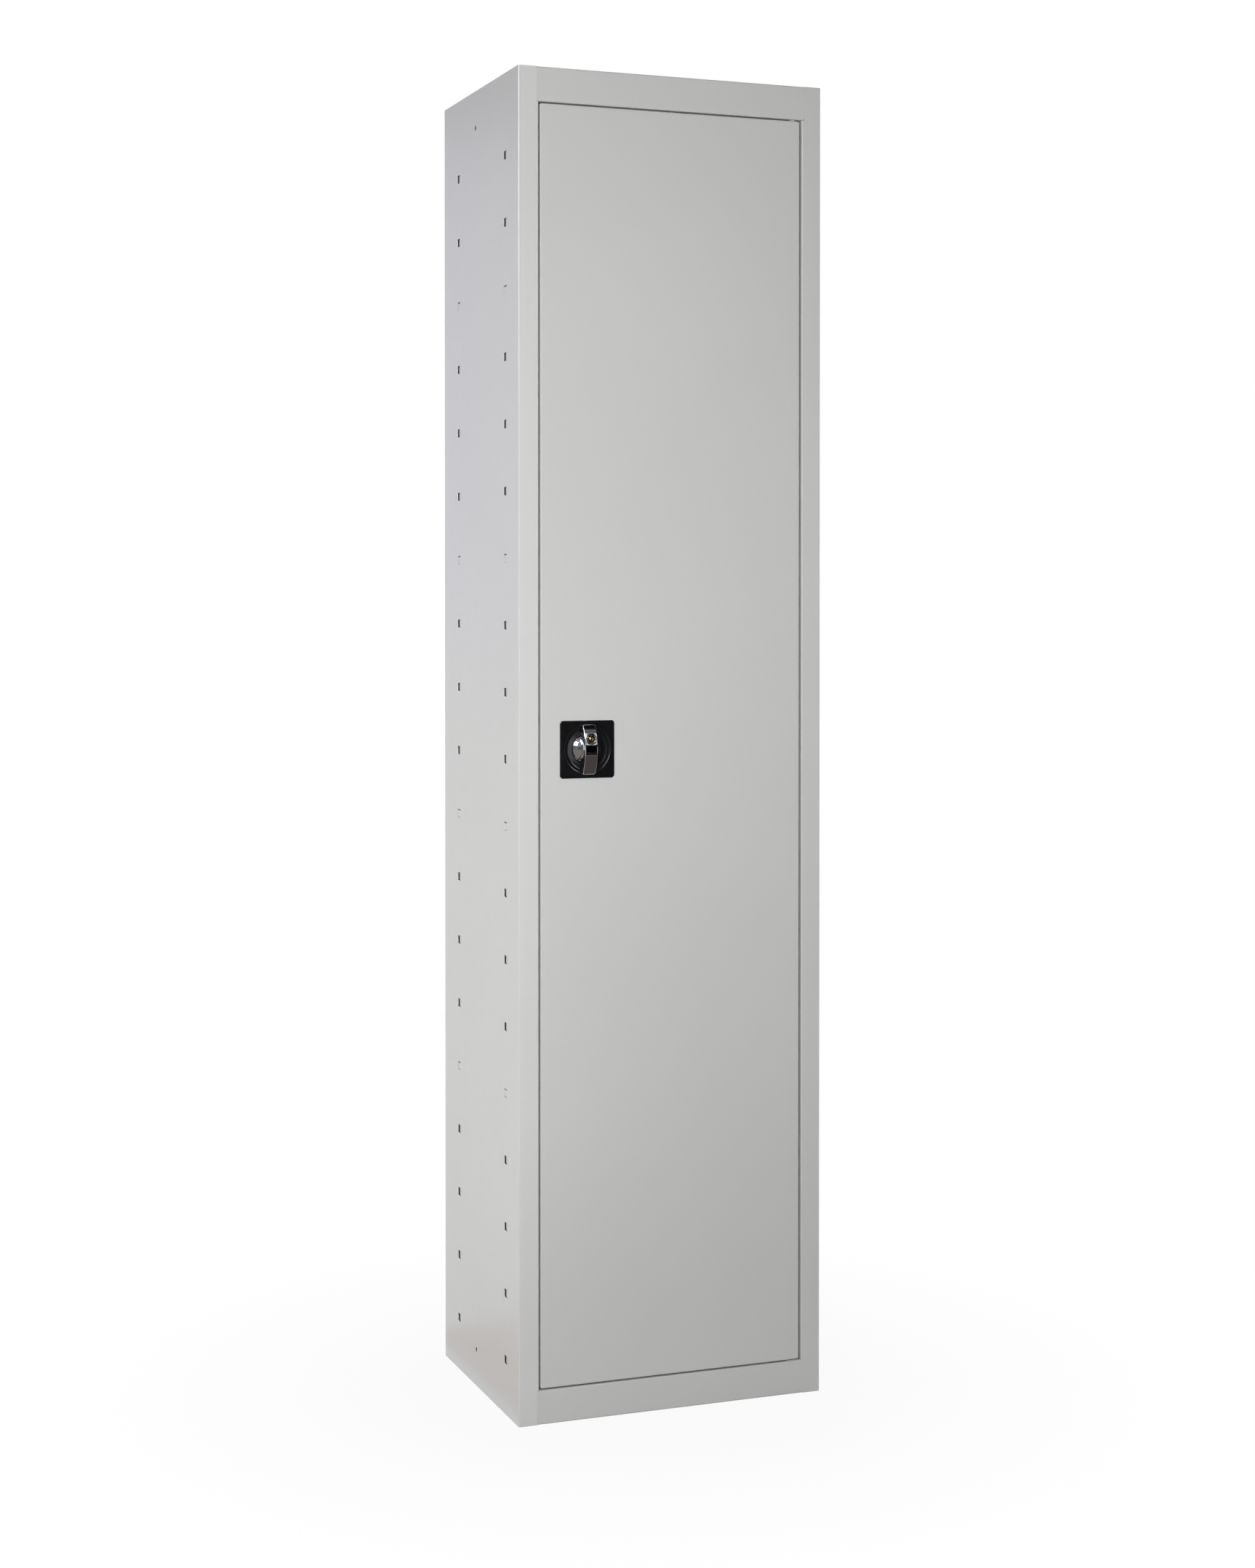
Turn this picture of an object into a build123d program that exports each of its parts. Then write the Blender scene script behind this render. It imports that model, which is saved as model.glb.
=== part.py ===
"""Locker cabinet: a tall folded-steel cabinet with one pivot-hung door, a turning lock and hung shelves.

Millimetres. The origin is on the floor, at the middle of the carcass. The front faces -Y, and +X is to the
right for someone who faces the door.
"""

import os
from math import radians, sin, sqrt

from build123d import *

os.makedirs("parts", exist_ok=True)

# Carcass
height = 1850
width = 450
depth = 350
sheet = 0.8
bend = 2.0
inner_bend = bend - sheet
stile = 29
stile_at_rail = 26
rail_top = 47.1
rail_bottom = 46.5
seam = 0.4
flange = 18
foot_flange = 20
rail_return = 50
stop_lip = 12
stop_gap = 0.8
fit = 0.1
overcut = 1
through = 4
flange_setback = 6

left_face = -width / 2
front = -depth / 2
back = depth / 2
opening_top = height - rail_top
tray_half = width / 2 - sheet - fit
tray_back = back - 2 * sheet - fit
rail_half = width / 2 - stile_at_rail - seam
rail_end = tray_half - rail_half + overcut
rail_end_x = rail_half + rail_end / 2
side_flange = depth - 2 * flange_setback

# Slots in the side panels, and the holes that join two cabinets
slot_count = 19
slot_pitch = 92.3
slot_top = 1737.4
slot_front = 58
slot_back = 277
slot_width = 13
slot_height = 11.5
flap_height = 10.2
flap_reach = 12
flap_depth = 2.3
flap_root = 0.4
shelf_slots = (2, 6, 10, 14)
joint_hole = 7
joint_hole_inset = 52
joint_hole_y = front + 195

slot_columns = (front + slot_front, front + slot_back)
slot_levels = [slot_top - i * slot_pitch for i in range(slot_count)]
shelf_levels = [slot_levels[i] for i in shelf_slots]

# Door
gap_left = 2.2
gap_right = 3.2
gap_top = 2.1
gap_bottom = 2.3
door_depth = 22
door_corner = 2.5
door_lip = 16
door_left = left_face + stile + gap_left
door_right = width / 2 - stile - gap_right
door_low = rail_bottom + gap_bottom
door_high = opening_top - gap_top
door_width = door_right - door_left
door_height = door_high - door_low
door_x = (door_left + door_right) / 2
door_z = (door_low + door_high) / 2
door_back = front + door_depth

# Pivots of the door
pivot_inset = 8.5
pin_radius = 2.5
pin_clear = 0.3
pin_chamfer = 0.6
running = 0.05
pivot_x = door_right - pivot_inset
pivot_y = front + pivot_inset
bush_radius = 4.0
bush_collar = 4.6
bush_length = 6
upper_collar = gap_top - 0.4
pin_reach = 12

# Lock: its axis runs along Y through this point of the front
lock_x = left_face + 98.5
lock_z = 921.5
plate_size = 79
plate_corner = 5
plate_proud = 2.0
cup_radius = 35.5
cup_depth = 13
boss_radius = 15
boss_back = door_back
ring_radius = 32.4
dish_radius = 27.5
hub_radius = 20.2
journal_radius = 10
grip_width = 18
grip_half = 34
grip_proud = 19
grip_end_proud = 8
key_offset = 15.3
barrel_radius = 8.2
plug_radius = 5.5
spindle_side = 8
socket_side = spindle_side + fit
stub_radius = 2.5
crank_radius = 12
crank_pin = 2.5
rod_radius = 3.5
rod_clear = 1.0
tongue_length = 63

# Levels along Y behind the door, from the washer to the rods
washer_front = door_back + 0.6
tongue_front = front + 24
cam_front = tongue_front + 2.5
cam_back = cam_front + 3
rod_y = cam_back + 2.4
fork_half = 1.5

front_plane = Plane.XZ.offset(-front)
lock_axis = Axis((lock_x, 0, lock_z), (0, 1, 0))
lock_section = Plane(origin=(lock_x, 0, lock_z), x_dir=(1, 0, 0), z_dir=(0, 0, 1))


def lock_plane(y):
    """Plane across the lock's axis at depth y: its own x runs along X, its y along Z, its normal along -Y."""
    return Plane(origin=(lock_x, y, lock_z), x_dir=(1, 0, 0), z_dir=(0, -1, 0))


def folded(points, radii, gauge=sheet):
    """Section of a folded sheet. The points are the corners of one face, and the sheet lies to its left."""
    with BuildSketch() as section:
        with BuildLine():
            FilletPolyline(*points, radius=radii)
            offset(amount=gauge, side=Side.LEFT)
        make_face()
    return section.sketch


def side_panel(lip):
    """Left side panel: wall, rear and foot flanges, stile with its return, and a stop lip where lip > 0."""
    line = [
        (left_face + flange, back),
        (left_face, back),
        (left_face, front),
        (left_face + stile, front),
        (left_face + stile, door_back + stop_gap),
    ]
    radii = [bend, bend, bend]
    if lip > 0:
        line.append((left_face + stile + lip, door_back + stop_gap))
        radii.append(inner_bend)
    notch = stile + lip - stile_at_rail + overcut
    notch_x = left_face + stile_at_rail + notch / 2
    with BuildPart() as panel:
        with BuildSketch():
            add(folded(line, radii))
        extrude(amount=height)
        # The stile is cut back where the rails come between the stiles
        with Locations((notch_x, front + stile / 2 - overcut, height - rail_top / 2)):
            Box(notch, stile, rail_top + 2 * seam, mode=Mode.SUBTRACT)
        with Locations((notch_x, front + stile / 2 - overcut, rail_bottom / 2)):
            Box(notch, stile, rail_bottom + 2 * seam, mode=Mode.SUBTRACT)
        # Foot flange along the floor
        with Locations((left_face + foot_flange / 2, 0, sheet / 2)):
            Box(foot_flange, side_flange, sheet)
        # Slots and joining holes
        with BuildSketch(Plane.YZ.offset(left_face - overcut)):
            with Locations([(y, z) for y in slot_columns for z in slot_levels]):
                Rectangle(slot_width, slot_height)
            with Locations((joint_hole_y, joint_hole_inset), (joint_hole_y, height - joint_hole_inset)):
                Circle(joint_hole / 2)
        extrude(amount=sheet + 2 * overcut, mode=Mode.SUBTRACT)
        # Flaps of the empty slots, still joined to the wall at their front edge and pressed inwards
        for level in slot_levels:
            if level in shelf_levels:
                continue
            with BuildSketch(Plane.XY.offset(level - flap_height / 2)):
                for y in slot_columns:
                    start = y - slot_width / 2
                    with BuildLine():
                        Polyline(
                            (left_face, start - flap_root),
                            (left_face + sheet, start - flap_root),
                            (left_face + sheet + flap_depth, start + flap_reach),
                            (left_face + flap_depth, start + flap_reach),
                            close=True,
                        )
                    make_face()
            extrude(amount=flap_height)
    return panel.part


# Side panels
with BuildPart() as left_side_panel:
    add(side_panel(stop_lip))
left_side_panel.part.label = "left_side_panel"
export_step(left_side_panel.part, "parts/left_side_panel.step")

with BuildPart() as right_side_panel:
    mirror(side_panel(0), about=Plane.YZ)
right_side_panel.part.label = "right_side_panel"
export_step(right_side_panel.part, "parts/right_side_panel.step")

# Back panel, inside the rear flanges of the side panels
with BuildPart() as back_panel:
    with Locations((0, back - 1.5 * sheet, height / 2)):
        Box(2 * (tray_half - bend), sheet, height)
back_panel.part.label = "back_panel"
export_step(back_panel.part, "parts/back_panel.step")

# Top panel: deck, rear flange, side flanges and the top rail with its return
with BuildPart() as top_panel:
    with BuildSketch(Plane.YZ):
        add(
            folded(
                [
                    (tray_back, height - flange),
                    (tray_back, height),
                    (front, height),
                    (front, opening_top),
                    (front + rail_return, opening_top),
                    (front + rail_return, opening_top + flange),
                ],
                bend,
            )
        )
    extrude(amount=tray_half, both=True)
    for side in (-1, 1):
        with Locations((side * rail_end_x, front + rail_return / 2, height - sheet - rail_top / 2)):
            Box(rail_end, rail_return + 2 * bend, rail_top, mode=Mode.SUBTRACT)
        with Locations((side * rail_end_x, front, height)):
            Box(rail_end, 2 * sheet + seam, 4 * bend, mode=Mode.SUBTRACT)
        with Locations((side * (tray_half - sheet / 2), 0, height - flange / 2)):
            Box(sheet, side_flange, flange)
    with Locations((lock_x, rod_y, opening_top)):
        Cylinder(rod_radius + rod_clear, through, mode=Mode.SUBTRACT)
    with Locations((pivot_x, pivot_y, opening_top)):
        Cylinder(pin_radius + pin_clear, through, mode=Mode.SUBTRACT)
top_panel.part.label = "top_panel"
export_step(top_panel.part, "parts/top_panel.step")

# Bottom panel: deck, rear flange, side flanges and the bottom rail with its foot
with BuildPart() as bottom_panel:
    with BuildSketch(Plane.YZ):
        add(
            folded(
                [
                    (tray_back, rail_bottom - flange),
                    (tray_back, rail_bottom),
                    (front, rail_bottom),
                    (front, 0),
                    (front + foot_flange, 0),
                ],
                bend,
            )
        )
    extrude(amount=tray_half, both=True)
    for side in (-1, 1):
        with Locations((side * rail_end_x, front + rail_return / 2, 0)):
            Box(rail_end, rail_return + 2 * bend, 2 * (rail_bottom - sheet), mode=Mode.SUBTRACT)
        with Locations((side * rail_end_x, front, rail_bottom)):
            Box(rail_end, 2 * sheet + seam, 4 * bend, mode=Mode.SUBTRACT)
        with Locations((side * (tray_half - sheet / 2), 0, rail_bottom - flange / 2)):
            Box(sheet, side_flange, flange)
    with Locations((lock_x, rod_y, rail_bottom)):
        Cylinder(rod_radius + rod_clear, through, mode=Mode.SUBTRACT)
bottom_panel.part.label = "bottom_panel"
export_step(bottom_panel.part, "parts/bottom_panel.step")

# Pivot plates with their pins: the upper one lies on the rail's return, the lower one on the deck
pivot_plate_width = 23
pivot_plate_depth = 32
upper_plate = 1.5
lower_plate = 1.0
lower_collar = gap_bottom - lower_plate - 0.2
pivot_plate_gap = 0.6
pivot_plate_setback = 2.5
pivot_plate_x = width / 2 - stile - pivot_plate_gap - pivot_plate_width / 2
pivot_plate_y = front + pivot_plate_setback + pivot_plate_depth / 2

with BuildPart() as upper_pivot:
    with Locations((pivot_plate_x, pivot_plate_y, opening_top + sheet + upper_plate / 2)):
        Box(pivot_plate_width, pivot_plate_depth, upper_plate)
    with BuildSketch(Plane.XY.offset(door_high - pin_reach)):
        with Locations((pivot_x, pivot_y)):
            Circle(pin_radius)
    extrude(amount=gap_top + pin_reach + sheet + upper_plate)
    chamfer(upper_pivot.faces().sort_by(Axis.Z)[0].edges(), pin_chamfer)
upper_pivot.part.label = "upper_pivot"
export_step(upper_pivot.part, "parts/upper_pivot.step")

with BuildPart() as lower_pivot:
    with Locations((pivot_plate_x, pivot_plate_y, rail_bottom + lower_plate / 2)):
        Box(pivot_plate_width, pivot_plate_depth, lower_plate)
    with BuildSketch(Plane.XY.offset(rail_bottom)):
        with Locations((pivot_x, pivot_y)):
            Circle(pin_radius)
    extrude(amount=gap_bottom + pin_reach)
    chamfer(lower_pivot.faces().sort_by(Axis.Z)[-1].edges(), pin_chamfer)
lower_pivot.part.label = "lower_pivot"
export_step(lower_pivot.part, "parts/lower_pivot.step")

# Shelves: trays with all four edges turned down, whose side edges stand on the clips
shelf_half = 221.6
shelf_front = front + 47
shelf_back = back - 5
shelf_drop = 25
shelf_side = 16
shelf_return = 12
tongue_half = 4.2
tongue_width = slot_width - 1.6
tongue_depth = 2.4
tongue_recess = 0.4
ledge = 1.2
ledge_depth = 15
ledge_width = 16
shelf_rise = shelf_side - tongue_half


def shelf(level):
    """Shelf whose side edges end at the bottom of the clips' tongues, which are centred on level."""
    top = level + shelf_rise
    with BuildPart() as tray:
        with BuildSketch(Plane.YZ):
            add(
                folded(
                    [
                        (shelf_back, top - shelf_drop),
                        (shelf_back, top),
                        (shelf_front, top),
                        (shelf_front, top - shelf_drop),
                        (shelf_front + shelf_return, top - shelf_drop),
                    ],
                    bend,
                )
            )
        extrude(amount=shelf_half, both=True)
        side_depth = shelf_back - shelf_front - 2 * bend
        for side in (-1, 1):
            flange_middle = (shelf_front + shelf_back) / 2
            with Locations((side * (shelf_half - sheet / 2), flange_middle, top - shelf_side / 2)):
                Box(sheet, side_depth, shelf_side)
    return tray.part


def shelf_clips(level):
    """Four clips of one shelf: each has a tongue in its slot and a ledge under the shelf's side."""
    with BuildPart() as clips:
        for side in (-1, 1):
            for y in slot_columns:
                with Locations((side * (width / 2 - tongue_recess - tongue_depth / 2), y, level)):
                    Box(tongue_depth, tongue_width, 2 * tongue_half)
                with Locations((side * (tray_half - ledge_depth / 2), y, level - tongue_half - ledge / 2)):
                    Box(ledge_depth, ledge_width, ledge)
    return clips.part


for number, level in enumerate(shelf_levels, start=1):
    with BuildPart() as one_shelf:
        add(shelf(level))
    one_shelf.part.label = f"shelf_{number}"
    export_step(one_shelf.part, f"parts/shelf_{number}.step")
    with BuildPart() as one_set:
        add(shelf_clips(level))
    one_set.part.label = f"shelf_clips_{number}"
    export_step(one_set.part, f"parts/shelf_clips_{number}.step")

# Door pan: a tray that opens backwards, with a lip all round
guide_width = 30
guide_height = 12
guide_edge = 4
rivet_radius = 1.6
rivet_hole = rivet_radius + fit
rivet_edge = 4
cup_clear = 0.3
guide_levels = (door_high - guide_edge - guide_height / 2, door_low + guide_edge + guide_height / 2)
rivet_points = [(lock_x + side * (guide_width / 2 - rivet_edge), z) for side in (-1, 1) for z in guide_levels]

with BuildPart() as door_pan:
    with BuildSketch(front_plane):
        with Locations((door_x, door_z)):
            RectangleRounded(door_width, door_height, door_corner)
    extrude(amount=-door_depth)
    fillet(door_pan.faces().sort_by(Axis.Y)[0].edges(), bend)
    offset(amount=-sheet, openings=door_pan.faces().sort_by(Axis.Y)[-1])
    with BuildSketch(Plane.XZ.offset(-door_back)):
        with Locations((door_x, door_z)):
            RectangleRounded(door_width - sheet, door_height - sheet, door_corner - sheet / 2)
            Rectangle(door_width - 2 * door_lip, door_height - 2 * door_lip, mode=Mode.SUBTRACT)
        with Locations(rivet_points):
            Circle(rivet_hole, mode=Mode.SUBTRACT)
    extrude(amount=sheet)
    with BuildSketch(lock_plane(front - overcut)):
        Circle(cup_radius + cup_clear)
    extrude(amount=-through, mode=Mode.SUBTRACT)
    for z in (door_low, door_high):
        with Locations((pivot_x, pivot_y, z)):
            Cylinder(bush_radius + running, through, mode=Mode.SUBTRACT)
door_pan.part.label = "door_pan"
export_step(door_pan.part, "parts/door_pan.step")

# Door stiffener: a hat channel on the inside of the skin
hat_half = 36
hat_foot = 12
hat_end = 4
hat_front = front + sheet
hat_back = door_back - 2.8

with BuildPart() as door_stiffener:
    with BuildSketch(Plane.XY.offset(door_low + hat_end)):
        add(
            folded(
                [
                    (-hat_half - hat_foot, hat_front),
                    (-hat_half, hat_front),
                    (-hat_half, hat_back),
                    (hat_half, hat_back),
                    (hat_half, hat_front),
                    (hat_half + hat_foot, hat_front),
                ],
                [bend, inner_bend, inner_bend, bend],
            )
        )
    extrude(amount=door_height - 2 * hat_end)
door_stiffener.part.label = "door_stiffener"
export_step(door_stiffener.part, "parts/door_stiffener.step")


def pivot_bush(edge, outwards, collar):
    """Nylon bush in the door's edge: a sleeve into the door and a collar in the gap. outwards is +1 or -1."""
    with BuildPart() as bush:
        with BuildSketch(Plane.XY.offset(edge)):
            with Locations((pivot_x, pivot_y)):
                Circle(bush_collar)
        extrude(amount=outwards * collar)
        with BuildSketch(Plane.XY.offset(edge)):
            with Locations((pivot_x, pivot_y)):
                Circle(bush_radius)
        extrude(amount=-outwards * bush_length)
        with Locations((pivot_x, pivot_y, edge)):
            Cylinder(pin_radius + running, 4 * bush_length, mode=Mode.SUBTRACT)
    return bush.part


with BuildPart() as upper_bush:
    add(pivot_bush(door_high, 1, upper_collar))
upper_bush.part.label = "upper_bush"
export_step(upper_bush.part, "parts/upper_bush.step")

with BuildPart() as lower_bush:
    add(pivot_bush(door_low, -1, lower_collar))
lower_bush.part.label = "lower_bush"
export_step(lower_bush.part, "parts/lower_bush.step")

# Lock plate: a square plate, the cup behind it with a two-step round recess, and the bearing boss
ring_step = 2.4
dish_edge = front + 4.6
dish_floor = front + 3.5
hub_seat = front + 8.2
cup_back = front + cup_depth
screw_offset = 26
screw_radius = 2.0
screw_depth = 6
screw_tip = 0.5
plate_edge = 0.8
hub_clear = 0.3

with BuildPart() as lock_plate:
    with BuildSketch(lock_plane(front)):
        RectangleRounded(plate_size, plate_size, plate_corner)
    extrude(amount=plate_proud)
    fillet(lock_plate.faces().sort_by(Axis.Y)[0].edges(), plate_edge)
    with BuildSketch(lock_plane(front)):
        Circle(cup_radius)
    extrude(amount=-cup_depth)
    with BuildSketch(lock_plane(cup_back)):
        Circle(boss_radius)
    extrude(amount=cup_back - boss_back)
    with BuildSketch(lock_section):
        with BuildLine():
            Polyline(
                (0, front - 2 * plate_proud),
                (ring_radius, front - 2 * plate_proud),
                (ring_radius, front - plate_proud + ring_step),
                (dish_radius, front - plate_proud + ring_step),
                (dish_radius, dish_edge),
                (hub_radius + hub_clear, dish_floor),
                (hub_radius + hub_clear, hub_seat),
                (journal_radius + running, hub_seat),
                (journal_radius + running, boss_back + overcut),
                (0, boss_back + overcut),
                close=True,
            )
        make_face()
    revolve(axis=lock_axis, mode=Mode.SUBTRACT)
    with BuildSketch(lock_plane(cup_back)):
        with Locations((screw_offset, 0), (-screw_offset, 0)):
            Circle(screw_radius + fit)
    extrude(amount=screw_depth + screw_tip, mode=Mode.SUBTRACT)
lock_plate.part.label = "lock_plate"
export_step(lock_plate.part, "parts/lock_plate.step")

# Lock clamp: a bridge behind the cup, whose feet press on the inside of the door skin
clamp_gauge = 1.5
clamp_half = 42
clamp_foot = 11
clamp_height = 44

with BuildPart() as lock_clamp:
    with BuildSketch(Plane.XY.offset(lock_z - clamp_height / 2)):
        add(
            folded(
                [
                    (lock_x - clamp_half - clamp_foot, hat_front),
                    (lock_x - clamp_half, hat_front),
                    (lock_x - clamp_half, cup_back),
                    (lock_x + clamp_half, cup_back),
                    (lock_x + clamp_half, hat_front),
                    (lock_x + clamp_half + clamp_foot, hat_front),
                ],
                [2 * clamp_gauge, clamp_gauge, clamp_gauge, 2 * clamp_gauge],
                clamp_gauge,
            )
        )
    extrude(amount=clamp_height)
    with BuildSketch(lock_plane(cup_back)):
        Circle(boss_radius + cup_clear)
        with Locations((screw_offset, 0), (-screw_offset, 0)):
            Circle(screw_radius + 2 * fit)
    extrude(amount=-2 * clamp_gauge, mode=Mode.SUBTRACT)
lock_clamp.part.label = "lock_clamp"
export_step(lock_clamp.part, "parts/lock_clamp.step")

# Lock screws: pan heads with a driver slot
head_radius = 3.6
head_height = 2.4
driver_slot = 1.0
driver_depth = 1.0
clamp_back = cup_back + clamp_gauge

with BuildPart() as lock_screws:
    for side in (-1, 1):
        with BuildSketch(lock_plane(clamp_back)):
            with Locations((side * screw_offset, 0)):
                Circle(screw_radius)
        extrude(amount=clamp_gauge + screw_depth)
        with BuildSketch(lock_plane(clamp_back)):
            with Locations((side * screw_offset, 0)):
                Circle(head_radius)
        extrude(amount=-head_height)
        with Locations((lock_x + side * screw_offset, clamp_back + head_height, lock_z)):
            Box(driver_slot, 2 * driver_depth, 2 * head_radius, mode=Mode.SUBTRACT)
lock_screws.part.label = "lock_screws"
export_step(lock_screws.part, "parts/lock_screws.step")

# Turning grip: an arched bar on a domed round hub, with the journal behind it
grip_clear = 0.6
grip_corner = 3.0
grip_edge = 0.7
grip_shelf = front - plate_proud - grip_clear
grip_floor = front + 3.0
grip_foot_half = 25
hub_rim = front + 4.2
dome_radius = 27
dome_centre = hub_rim + sqrt(dome_radius**2 - hub_radius**2)
dome_waist = hub_radius / 2
journal_back = boss_back + 0.4
socket_front = front + 10

with BuildPart() as turning_grip:
    with BuildSketch(Plane.YZ.offset(lock_x)):
        with BuildLine():
            ThreePointArc(
                (front - grip_end_proud, lock_z - grip_half),
                (front - grip_proud, lock_z),
                (front - grip_end_proud, lock_z + grip_half),
            )
            Polyline(
                (front - grip_end_proud, lock_z + grip_half),
                (grip_shelf, lock_z + grip_half),
                (grip_shelf, lock_z + grip_foot_half),
                (grip_floor, lock_z + grip_foot_half),
                (grip_floor, lock_z - grip_foot_half),
                (grip_shelf, lock_z - grip_foot_half),
                (grip_shelf, lock_z - grip_half),
                (front - grip_end_proud, lock_z - grip_half),
            )
        make_face()
    extrude(amount=grip_width / 2, both=True)
    end_faces = turning_grip.faces().filter_by(Axis.Z).group_by(Axis.Z)
    fillet((end_faces[0] + end_faces[-1]).edges().filter_by(Axis.Y), grip_corner)
    arch = turning_grip.faces().filter_by(GeomType.CYLINDER).sort_by(SortBy.AREA)[-1]
    fillet(arch.edges(), grip_edge)
    with BuildSketch(lock_section):
        with BuildLine():
            ThreePointArc(
                (0, dome_centre - dome_radius),
                (dome_waist, dome_centre - sqrt(dome_radius**2 - dome_waist**2)),
                (hub_radius, hub_rim),
            )
            Polyline(
                (hub_radius, hub_rim),
                (hub_radius, hub_seat - hub_clear),
                (journal_radius, hub_seat - hub_clear),
                (journal_radius, journal_back),
                (0, journal_back),
                (0, dome_centre - dome_radius),
            )
        make_face()
    revolve(axis=lock_axis)
    # Square socket for the spindle, and the bore for the key cylinder
    with BuildSketch(lock_plane(socket_front)):
        Rectangle(socket_side, socket_side)
    extrude(amount=-door_depth, mode=Mode.SUBTRACT)
    with BuildSketch(lock_plane(front - grip_proud - overcut)):
        with Locations((0, key_offset)):
            Circle(barrel_radius + running)
    extrude(amount=-grip_proud, mode=Mode.SUBTRACT)
turning_grip.part.label = "turning_grip"
export_step(turning_grip.part, "parts/turning_grip.step")

# Key cylinder: the barrel in the bar, with a bevelled rim round the key plug
barrel_front = front - grip_proud + 1.4
barrel_back = front - 1.2
rim_inner = plug_radius + 0.6
rim_depth = 0.6
barrel_edge = 0.7
barrel_floor = 2

with BuildPart() as key_cylinder:
    with BuildSketch(lock_plane(barrel_back)):
        with Locations((0, key_offset)):
            Circle(barrel_radius)
    extrude(amount=barrel_back - barrel_front)
    fillet(key_cylinder.faces().sort_by(Axis.Y)[0].edges(), barrel_edge)
    with BuildSketch(lock_plane(barrel_front)):
        with Locations((0, key_offset)):
            Circle(plug_radius + running)
    extrude(amount=-(barrel_back - barrel_front - barrel_floor), mode=Mode.SUBTRACT)
    with BuildSketch(lock_plane(barrel_front - overcut)):
        with Locations((0, key_offset)):
            Circle(rim_inner)
    extrude(amount=-(rim_depth + overcut), mode=Mode.SUBTRACT)
key_cylinder.part.label = "key_cylinder"
export_step(key_cylinder.part, "parts/key_cylinder.step")

# Key plug with its keyway
plug_front = barrel_front + 0.3
plug_back = barrel_back - 2.3
keyway = 1.3
keyway_height = 7.6
plug_edge = 0.4
plug_floor = 2

with BuildPart() as key_plug:
    with BuildSketch(lock_plane(plug_back)):
        with Locations((0, key_offset)):
            Circle(plug_radius)
    extrude(amount=plug_back - plug_front)
    chamfer(key_plug.faces().sort_by(Axis.Y)[0].edges(), plug_edge)
    with BuildSketch(lock_plane(plug_front)):
        with Locations((0, key_offset)):
            SlotOverall(keyway_height, keyway, rotation=90)
    extrude(amount=-(plug_back - plug_front - plug_floor), mode=Mode.SUBTRACT)
key_plug.part.label = "key_plug"
export_step(key_plug.part, "parts/key_plug.step")

# Spindle: a square bar from the grip's socket to the cam, with a round stub for the nut
stub_length = 4
spindle_front = socket_front + 2 * fit

with BuildPart() as spindle:
    with BuildSketch(lock_plane(cam_back)):
        Rectangle(spindle_side, spindle_side)
    extrude(amount=cam_back - spindle_front)
    with BuildSketch(lock_plane(cam_back)):
        Circle(stub_radius)
    extrude(amount=-stub_length)
spindle.part.label = "spindle"
export_step(spindle.part, "parts/spindle.step")

# Retaining washer between the boss and the tongue
washer_radius = 13
washer_bore = 5.84

with BuildPart() as retaining_washer:
    with BuildSketch(lock_plane(tongue_front)):
        Circle(washer_radius)
        Circle(washer_bore, mode=Mode.SUBTRACT)
    extrude(amount=tongue_front - washer_front)
retaining_washer.part.label = "retaining_washer"
export_step(retaining_washer.part, "parts/retaining_washer.step")

# Latch tongue: hangs down while unlocked, and turns behind the left stile's stop lip
tongue_hub = 13
tongue_tip = 16

with BuildPart() as latch_tongue:
    with BuildSketch(lock_plane(cam_front)) as tongue_outline:
        Circle(tongue_hub)
        with Locations((0, -tongue_length / 2)):
            Rectangle(tongue_tip, tongue_length)
        fillet(tongue_outline.vertices().sort_by(Axis.Y)[:2], tongue_tip / 4)
        Rectangle(socket_side, socket_side, mode=Mode.SUBTRACT)
    extrude(amount=cam_front - tongue_front)
latch_tongue.part.label = "latch_tongue"
export_step(latch_tongue.part, "parts/latch_tongue.step")

# Drive cam: a disc whose two pins move the rods
half_swing = radians(45)
pin_place = crank_radius * sin(half_swing)
rod_travel = 2 * pin_place
cam_radius = 18
pin_overreach = 0.6

with BuildPart() as drive_cam:
    with BuildSketch(lock_plane(cam_back)):
        Circle(cam_radius)
        Rectangle(socket_side, socket_side, mode=Mode.SUBTRACT)
    extrude(amount=cam_back - cam_front)
    with BuildSketch(lock_plane(cam_back)):
        with Locations((-pin_place, -pin_place), (pin_place, pin_place)):
            Circle(crank_pin)
    extrude(amount=-(rod_y + fork_half - cam_back + pin_overreach))
drive_cam.part.label = "drive_cam"
export_step(drive_cam.part, "parts/drive_cam.step")

# End nut on the spindle's stub
nut_radius = 4.6
nut_height = 3.2

with BuildPart() as end_nut:
    with BuildSketch(lock_plane(cam_back)):
        RegularPolygon(nut_radius, 6)
        Circle(stub_radius + running, mode=Mode.SUBTRACT)
    extrude(amount=-nut_height)
end_nut.part.label = "end_nut"
export_step(end_nut.part, "parts/end_nut.step")

# Lock rods: a fork round the cam's pin, and a round rod to the edge of the door
slot_clear = 0.6
fork_outer = 19
fork_inner = 6.3
fork_tail = 6
arm_low = 18
arm_high = 26
arm_overlap = 5
rod_root = arm_low + 4
fork_play = 0.7
fork_slot = crank_radius + 2 * (crank_pin + fork_play)
tip_chamfer = 1.2
tip_setback = 1.8


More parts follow.
